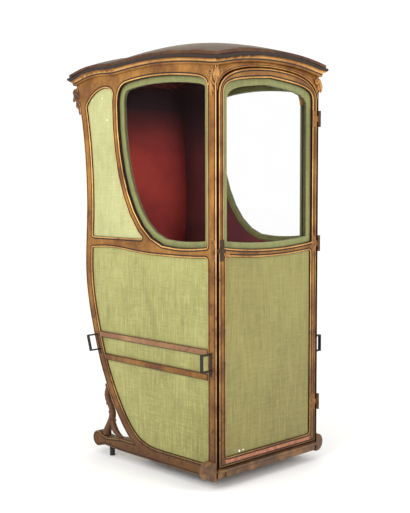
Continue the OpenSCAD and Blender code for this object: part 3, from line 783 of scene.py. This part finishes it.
for name, height in (("top", seat_high.z - 0.016), ("bottom", seat_low.z + 0.014)):
    band = [vertex.co for vertex in cushion.data.vertices if abs(vertex.co.z - height) < 0.006]
    cord = []
    for step in range(120):
        way = Vector((math.cos(step * math.pi / 60), math.sin(step * math.pi / 60)))
        near = [point for point in band if (point - middle).xy.normalized().dot(way) > 0.9990]
        if near:
            outermost = max(near, key=lambda point: (point - middle).xy.length)
            cord.append(((outermost.x, outermost.y, height), PIPING))
    piping = round_lines("piping_" + name, [cord], closed=True, sides=2, steps=3)
    leave(piping, 80)
    give(piping, wine)
    settle(piping, "chair", "crimson_lining")
give(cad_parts["seat_riser"], crimson)


# ---- The runners, the sill and the floor ----
# Oak runners carry the posts and end behind in a scroll. Their outer faces are moulded and
# keep some gilding. A carved sill crosses below the door; boards and bearers are plain.

def old_oak(name, light, deep, gold, gilded):
    """Brown oak with its grain, dirt and what is left of the gilding, and painted shade in its hollows."""
    made, surface, place = finish(name)
    grain = place.noise(46.0, 5.0, 0.65, (1.0, 0.16, 1.0))
    pore = place.noise(300.0, 3.0, 0.6, (1.0, 0.08, 1.0))
    cloud = place.noise(12.0, 4.0, 0.6)
    hollow_shade = place.node("ShaderNodeAmbientOcclusion", {"samples": 6, "only_local": True}, 1, Distance=0.010)
    hollow_shade = (1.0 - hollow_shade).between(0.12, 0.65)
    colour = blended(grain.between(0.35, 0.7), light, deep)
    colour = blended(cloud.between(0.5, 0.62) * gilded, colour, gold)
    colour = blended(pore.between(0.5, 0.75) * 0.5, colour, rgb(48, 32, 20))
    # Painted shade in the hollows that the occlusion node finds.
    colour = blended(hollow_shade * 0.8, colour, rgb(34, 22, 14))
    feed(surface, grain * 0.6 + pore * 0.4, 0.0012, 0.5, Base_Color=colour, Roughness=0.55 + grain * 0.2)
    return made


base_oak = old_oak("base_oak", rgb(104, 72, 42), rgb(70, 46, 27), rgb(146, 102, 54), 0.6)
plain_oak = old_oak("plain_oak", rgb(128, 92, 58), rgb(92, 64, 40), rgb(110, 82, 54), 0.2)
for node in ("runner_left", "runner_right"):
    give(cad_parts[node], base_oak)
sill = merged_copy("carved_sill", "front_sill")
edit(sill)
pick_faces(sill, lambda at, way: way.y < -0.9)
run_moulding(sill, [(0.0015, 0.0012, 0), (0.0020, 0.0006, 0)])
leave(sill)
give(sill, base_oak)
settle(sill, "chair", "plain_oak", "front_sill")
for node in ("rear_crossbar", "floor_bearers", "floor_board", "seat_board"):
    give(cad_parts[node], plain_oak)
toes = merged_copy("rounded_toes", "front_toes")
give(toes, base_oak)
leave(toes)
settle(toes, "chair", "brown_wood", "front_toes")


# ---- The ironwork ----
# Wrought staples for the poles, bolted to the posts, and turned iron pegs under the runners.
# The door hangs on three butt hinges and shuts with a rim latch on its left stile.

def old_iron(name, dark, rust):
    """Wrought iron, dark with handling, rusty in patches."""
    made, surface, place = finish(name)
    scale = place.noise(90.0, 5.0, 0.65)
    patch = place.noise(24.0, 4.0, 0.6)
    colour = blended(patch.between(0.52, 0.72) * 0.7, dark, rust)
    colour = blended(scale.between(0.5, 0.8) * 0.4, colour, tuple(v * 1.8 for v in dark[:3]) + (1.0,))
    feed(surface, scale, 0.0008, 0.5, Base_Color=colour, Roughness=0.5 + scale * 0.25,
         Metallic=0.8 - patch * 0.5)
    return made


iron = old_iron("wrought_iron", rgb(48, 44, 42), rgb(74, 50, 36))
staples = merged_copy("pole_staples_forged", "pole_staples", flat=False)
edit(staples)
bpy.ops.mesh.select_all(action="SELECT")
bpy.ops.transform.shrink_fatten(value=-0.0014)
leave(staples)
give(staples, iron)
settle(staples, "chair", "iron", "pole_staples")
give(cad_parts["iron_feet"], iron)
latch_bronze = old_iron("latch_bronze", rgb(66, 48, 30), rgb(124, 88, 46))
give(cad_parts["door_latch"], latch_bronze)

# The hinges' leaves and the keeper are gilded over, and the knuckles are bare.
hinge_finish, hinge_surface, place = finish("gilded_hinge")
outward = place.along(0).between(half_width - 0.0045, half_width - 0.0035)
forward = place.along(1).between(front_face + 0.001, front_face - 0.001)
knuckle = outward * forward
grain = place.noise(60.0, 5.0, 0.65)
scale = place.noise(140.0, 4.0, 0.65)
colour = blended(grain.between(0.4, 0.62), rgb(150, 104, 48), rgb(100, 62, 30))
colour = blended(scale.between(0.5, 0.7) * 0.5, colour, rgb(50, 32, 20))
colour = blended(knuckle, colour, blended(scale.between(0.4, 0.7), rgb(54, 46, 38), rgb(92, 66, 42)))
feed(hinge_surface, scale, 0.0010, 0.5, Base_Color=colour, Roughness=0.45 + scale * 0.3,
     Metallic=0.3 + knuckle * 0.4)
for node in ("hinge_plates", "door_hinges", "latch_keeper"):
    give(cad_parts[node], hinge_finish)


# ---- The carvings ----
# Lime wood, carved apart and glued on, then gilded with the frame: a scroll and leaves over
# each front corner, a volute and twisted foliage behind, and a scrolled bracket below.

up, back = Vector((0, 0, 1)), Vector((0, 1, 0))


def curl(middle, across, rise, radius, turns, start, thick):
    """A scroll: places and gouge widths from its outer end in to its eye."""
    steps = int(turns * 11)
    cut = []
    for step in range(steps + 1):
        part = step / steps
        angle = start + turns * 2 * math.pi * part
        reach = radius * (1 - 0.80 * part)
        place = middle + across * reach * math.cos(angle) + rise * reach * math.sin(angle)
        cut.append((place, thick * (1 - 0.30 * part)))
    return cut


def lobe(root, tip, swell, thick):
    """One lobe of a leaf, fullest a third of the way to its turned tip."""
    return [(root, thick * 0.5), (root.lerp(tip, 0.35) + swell * 0.6, thick),
            (root.lerp(tip, 0.75) + swell, thick * 0.7), (tip, thick * 0.2)]


def carve(piece_name, cuts, widen=1.0):
    """A carving made of rounded cuts of changing width, then widened across the chair."""
    piece = round_lines(piece_name, cuts)
    edit(piece)
    bpy.ops.mesh.select_all(action="SELECT")
    bpy.ops.mesh.remove_doubles(threshold=0.00002)
    bpy.ops.mesh.normals_make_consistent(inside=False)
    if widen != 1.0:
        bpy.ops.transform.resize(value=(widen, 1, 1), center_override=tuple(cuts[0][0][0]))
    leave(piece, 60)
    return piece


def joined(piece_name, parts):
    """Several parts made one piece."""
    bpy.ops.object.select_all(action="DESELECT")
    for part in parts:
        part.select_set(True)
    bpy.context.view_layer.objects.active = parts[0]
    bpy.ops.object.join()
    parts[0].name = piece_name
    return parts[0]


carved_gilt = gilding("carved_gilding", rgb(206, 152, 88), rgb(112, 66, 34), rgb(92, 52, 32), 0.7, 0.35)
dark_carving = gilding("browned_carving", rgb(132, 92, 62), rgb(92, 60, 42), rgb(110, 74, 60), 0.8, 0.15)
front_box, rear_box, foot_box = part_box("front_carvings"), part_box("rear_carvings"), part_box("rear_brackets")

# The lobes of the front leaf: how far below its rib each starts, how far back and down its tip
# is, how far it swells out and down, and its width.
FRONT_LOBES = [(0.040, 0.000, 0.118, 0.005, 0.000, 0.0095), (0.046, 0.020, 0.070, 0.003, 0.008, 0.0065),
               (0.046, -0.018, 0.074, 0.003, 0.006, 0.0060), (0.070, 0.014, 0.098, 0.002, 0.006, 0.0050),
               (0.070, -0.013, 0.100, 0.002, 0.006, 0.0050)]
# The rear bracket's two legs: how far in from its heel, how high, and the radius.
STEM = [(0.034, 0.224, 0.009), (0.020, 0.195, 0.013), (0.024, 0.160, 0.013), (0.046, 0.132, 0.012),
        (0.058, 0.104, 0.014), (0.050, 0.074, 0.015), (0.034, 0.048, 0.015), (0.018, 0.022, 0.016),
        (0.016, 0.004, 0.018)]
INNER_LEG = [(0.052, 0.082, 0.010), (0.058, 0.052, 0.013), (0.074, 0.028, 0.013), (0.098, 0.012, 0.010),
             (0.124, 0.005, 0.006)]
# Its leaves: where each starts and where its tip is, in and up, its swell back and up, its width.
BRACKET_LOBES = [(0.032, 0.206, 0.008, 0.222, 0.000, 0.004, 0.0095),
                 (0.022, 0.192, 0.008, 0.164, 0.002, 0.000, 0.0095),
                 (0.034, 0.150, 0.012, 0.134, 0.000, -0.002, 0.0085),
                 (0.052, 0.116, 0.030, 0.098, 0.003, 0.000, 0.0080)]
fronts, rears, brackets = [], [], []
for sign in (-1, 1):
    out = Vector((sign, 0, 0))

    def spot(start, out_by, back_by, up_by):
        return start + out * out_by + back * back_by + up * up_by

    corner = out * half_width + back * front_face + up * (front_box[1].z + 0.004)
    rib = spot(corner, 0.003, 0.020, 0)
    cuts = [curl(spot(corner, 0.004, 0.026, -0.024), back, up, 0.016, 1.6, 2.6, 0.0052)]
    for start_down, tip_back, tip_down, swell_out, swell_down, thick in FRONT_LOBES:
        swell = out * swell_out - up * swell_down
        cuts.append(lobe(rib - up * start_down, spot(rib, 0, tip_back, -tip_down), swell, thick))
    edge = spot(corner, 0.001, -0.001, 0)
    for turned in (0.0, 0.5, 1.0):
        way = (out * (1 - turned) - back * turned).normalized()
        drop = 0.066 - 0.014 * abs(turned - 0.5)
        cuts.append(lobe(edge - up * 0.010, edge + way * 0.007 - up * drop, way * 0.005, 0.0085))
    cuts.append(curl(spot(corner, -0.016, -0.004, -0.021), -out, up, 0.012, 1.5, 2.6, 0.0042))
    cuts.append(lobe(spot(corner, -0.008, -0.003, -0.030), spot(corner, 0, -0.004, -0.066),
                     -back * 0.001, 0.0060))
    fronts.append(carve("front_leaves", cuts))

    top = out * (half_width - 0.006) + back * rear_box[1].y + up * rear_box[1].z
    cuts = [curl(spot(top, 0, -0.024, -0.024), back, up, 0.016, 1.5, 2.2, 0.0090),
            lobe(spot(top, 0, -0.060, -0.010), spot(top, 0, -0.030, -0.008), up * 0.004, 0.0080)]
    for strand in range(3):
        cut = []
        for step in range(10):
            part = step / 9
            angle = strand * 2 * math.pi / 3 + part * 5.2
            core = spot(top, 0, -0.034, -0.030).lerp(spot(top, 0, -0.063, -0.120), part)
            reach = 0.0110 * (1 - 0.5 * part)
            cut.append((spot(core, reach * math.sin(angle), reach * math.cos(angle), 0),
                        0.0100 * (1 - 0.5 * part)))
        cuts.append(cut)
    cuts.append(lobe(spot(top, 0, -0.026, -0.040), spot(top, 0, -0.008, -0.066), back * 0.004, 0.0085))
    cuts.append(lobe(spot(top, 0, -0.036, -0.066), spot(top, 0, -0.030, -0.092), back * 0.004, 0.0055))
    rears.append(carve("rear_volute", cuts, 1.1))

    heel = out * (half_width - 0.021) + back * foot_box[1].y + up * foot_box[0].z
    cuts = [[(spot(heel, 0, -inward, height), radius) for inward, height, radius in leg]
            for leg in (STEM, INNER_LEG)]
    for start_in, start_up, tip_in, tip_up, swell_back, swell_up, thick in BRACKET_LOBES:
        swell = back * swell_back + up * swell_up
        cuts.append(lobe(spot(heel, 0, -start_in, start_up), spot(heel, 0, -tip_in, tip_up), swell, thick))
    cuts.append(curl(spot(heel, 0, -0.066, 0.072), back, up, 0.010, 1.2, 1.0, 0.0045))
    brackets.append(carve("rear_scroll", cuts, 1.1))
for piece_name, parts, node, look, slot in (
        ("front_corner_leaves", fronts, "front_carvings", carved_gilt, "gilt_wood"),
        ("rear_corner_volutes", rears, "rear_carvings", dark_carving, "gilt_wood"),
        ("rear_scroll_brackets", brackets, "rear_brackets", dark_carving, "brown_wood")):
    carving = joined(piece_name, parts)
    give(carving, look)
    settle(carving, "chair", slot, node)

# A small scroll and leaf at the latch's end of the door's waist rail.
across = Vector((1, 0, 0))
leaf_start = Vector((0.006 - door_reach, door_front - 0.001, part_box("door_waist_rail")[0].z + 0.012))
cuts = [curl(leaf_start, across, up, 0.009, 1.4, 0.4, 0.0030),
        lobe(leaf_start + across * 0.008, leaf_start + across * 0.034 + up * 0.004, -up * 0.003, 0.0040),
        lobe(leaf_start + across * 0.006 + up * 0.004, leaf_start + across * 0.022 + up * 0.014,
             up * 0.001, 0.0034)]
latch_leaf = carve("latch_side_leaf", cuts)
give(latch_leaf, carved_gilt)
settle(latch_leaf, "door", "gilt_wood")


# ---- The studio ----
# A pale floor, a broad soft light from the left and the camera at standing height.

floor_finish, floor_surface, place = finish("studio_floor")
speck = place.noise(30.0, 2.0, 0.5)
feed(floor_surface, None, Base_Color=blended(speck, rgb(255, 255, 255), rgb(253, 253, 253)), Roughness=0.9)
bpy.ops.mesh.primitive_plane_add(size=60, location=(0, 0, 0))
floor = bpy.context.active_object
floor.name = "studio_floor"
give(floor, floor_finish)

world = bpy.data.worlds.new("studio")
world.use_nodes = True
world.node_tree.nodes["Background"].inputs["Color"].default_value = (1.0, 1.0, 1.0, 1.0)
world.node_tree.nodes["Background"].inputs["Strength"].default_value = 1.05
bpy.context.scene.world = world


def soft_light(name, place, aim, size, power):
    bpy.ops.object.light_add(type="AREA", location=place)
    lamp = bpy.context.active_object
    lamp.name = name
    lamp.data.size = size
    lamp.data.energy = power
    lamp.rotation_euler = (Vector(aim) - Vector(place)).to_track_quat("-Z", "Y").to_euler()


soft_light("window_light", (-4.2, -0.6, 3.0), (0, 0, 0.9), 2.4, 90)
soft_light("front_light", (1.2, -4.4, 2.3), (0, 0.3, 1.1), 1.8, 60)

bpy.ops.object.camera_add(location=(-2.822, -2.967, 1.180))
camera = bpy.context.active_object
yaw, pitch, roll = math.radians(44.19), math.radians(4.46), math.radians(-0.14)
turn = Matrix.Rotation(-yaw, 4, "Z") @ Matrix.Rotation(math.pi / 2 - pitch, 4, "X")
turn = turn @ Matrix.Rotation(roll, 4, "Z")
camera.rotation_euler = turn.to_euler()
camera.data.lens = 67.07
camera.data.sensor_width = 36
camera.data.sensor_fit = "AUTO"
camera.data.dof.use_dof = False
bpy.context.scene.camera = camera
bpy.context.scene.view_settings.view_transform = "Standard"
